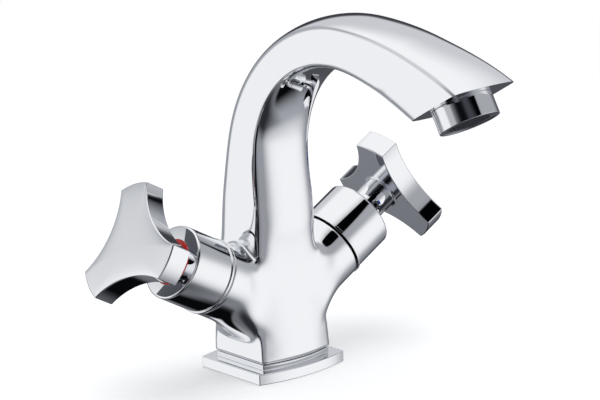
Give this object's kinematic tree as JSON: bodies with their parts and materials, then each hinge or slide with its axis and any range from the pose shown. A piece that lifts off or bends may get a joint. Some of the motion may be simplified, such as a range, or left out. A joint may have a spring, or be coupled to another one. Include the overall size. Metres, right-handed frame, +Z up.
{
  "type": "bathroom mixer faucet",
  "caption": "Deck-mounted basin mixer with a tall arched spout and two tilted three-lobed handles, on a small bowed base plate.",
  "frame": {"origin": "centre of the shank's end, in the deck plane under the base plate", "axes": "+Z up out of the deck, -Y the way the spout points, -X towards the hot handle and +X towards the cold handle"},
  "size_m": [0.1822, 0.1743, 0.171],
  "materials": {
    "chrome_plate": "polished chromium plate on cast brass",
    "brass": "turned",
    "ceramic": "lapped alumina",
    "rubber": "moulded",
    "fibre": "pressed fibre sheet",
    "ptfe": "skived sheet",
    "acetal": "moulded",
    "screen": "woven wire",
    "spring_steel": "phosphated",
    "red_index": "moulded",
    "blue_index": "moulded"
  },
  "bodies": {
    "root": {"base_plate": "chrome_plate", "base_gasket": "rubber", "body_casting": "chrome_plate", "hot_headpart": "brass", "hot_headpart_gasket": "fibre", "hot_seat_seal": "rubber", "hot_fixed_disc": "ceramic", "hot_glide_ring": "ptfe", "hot_cap": "chrome_plate", "hot_index_ring": "red_index", "cold_headpart": "brass", "cold_headpart_gasket": "fibre", "cold_seat_seal": "rubber", "cold_fixed_disc": "ceramic", "cold_glide_ring": "ptfe", "cold_cap": "chrome_plate", "cold_index_ring": "blue_index", "aerator_housing": "chrome_plate", "aerator_insert": "acetal", "aerator_screen": "screen", "aerator_gasket": "rubber"},
    "hot_handle_body": {"hot_moving_disc": "ceramic", "hot_spindle": "brass", "hot_spindle_orings": "rubber", "hot_circlip": "spring_steel", "hot_handle": "chrome_plate", "hot_grub_screw": "spring_steel"},
    "cold_handle_body": {"cold_moving_disc": "ceramic", "cold_spindle": "brass", "cold_spindle_orings": "rubber", "cold_circlip": "spring_steel", "cold_handle": "chrome_plate", "cold_grub_screw": "spring_steel"}
  },
  "joints": [
    {"name": "hot_handle_turn", "type": "hinge", "parent": "root", "child": "hot_handle_body", "pos_m": [-0.06214, 0, 0.06416], "axis": [-0.8704, 0, 0.4924], "range_deg": [0, 90]},
    {"name": "cold_handle_turn", "type": "hinge", "parent": "root", "child": "cold_handle_body", "pos_m": [0.06214, 0, 0.06416], "axis": [0.8704, 0, 0.4924], "range_deg": [-90, 0]}
  ]
}
